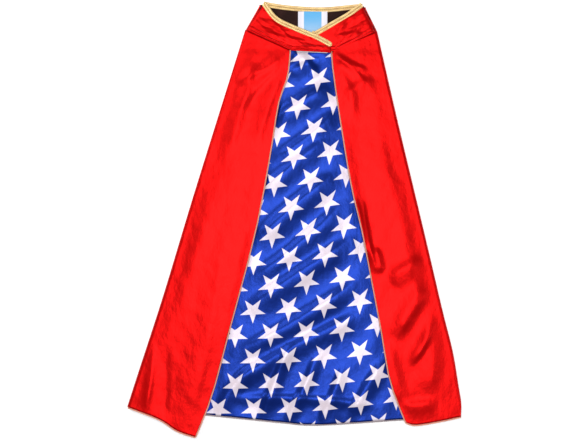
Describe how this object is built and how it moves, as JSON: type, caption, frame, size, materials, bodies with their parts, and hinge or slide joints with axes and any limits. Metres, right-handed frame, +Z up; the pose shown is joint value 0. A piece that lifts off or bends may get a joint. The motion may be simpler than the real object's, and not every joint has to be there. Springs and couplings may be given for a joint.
{
  "type": "superhero cape",
  "caption": "Child's hip-length cape laid flat: red satin outside, star-printed lining, shoulder yoke with a bound neck, and fronts that fold open from the side folds.",
  "frame": {"origin": "under the middle of the whole cape's box, at the height of the table it lies on", "axes": "+Z up off the table, +Y towards the neck, +X right as the cape is seen from the front"},
  "size_m": [0.5334, 0.7, 0.0135],
  "materials": {
    "red_satin": "bright satin weave",
    "star_lining": "satin printed with pale stars",
    "gold_binding": "shiny folded binding",
    "dark_facing": "matt plain weave",
    "edge_thread": "overlock thread",
    "label_satin": "woven label with a plain blue block",
    "hook_tape": "stiff hook pile",
    "loop_tape": "soft loop pile"
  },
  "bodies": {
    "back": {"back_shell": "red_satin", "back_lining": "star_lining", "back_yoke": "red_satin", "back_yoke_facing": "dark_facing", "back_neck_binding": "gold_binding", "neck_label": "label_satin", "back_hem_edging": "edge_thread"},
    "left_front": {"left_front_shell": "red_satin", "left_front_lining": "star_lining", "left_front_edging": "edge_thread", "left_yoke": "red_satin", "left_yoke_facing": "dark_facing", "left_neck_binding": "gold_binding", "hook_tape": "hook_tape"},
    "right_front": {"right_front_shell": "red_satin", "right_front_lining": "star_lining", "right_front_edging": "edge_thread", "right_yoke": "red_satin", "right_yoke_facing": "dark_facing", "right_neck_binding": "gold_binding", "loop_tape": "loop_tape"}
  },
  "joints": [
    {"name": "left_front_fold", "type": "hinge", "parent": "back", "child": "left_front", "pos_m": [-0.26813, -0.30135, 0.0035], "axis": [-0.299, -0.9543, 0], "range_deg": [0, 170]},
    {"name": "right_front_fold", "type": "hinge", "parent": "back", "child": "right_front", "pos_m": [0.26706, -0.30067, 0.0035], "axis": [-0.2213, 0.9752, 0], "range_deg": [0, 170]}
  ],
  "couplings": [
    {"joint": "right_front_fold", "follows": "left_front_fold", "ratio": 1}
  ]
}
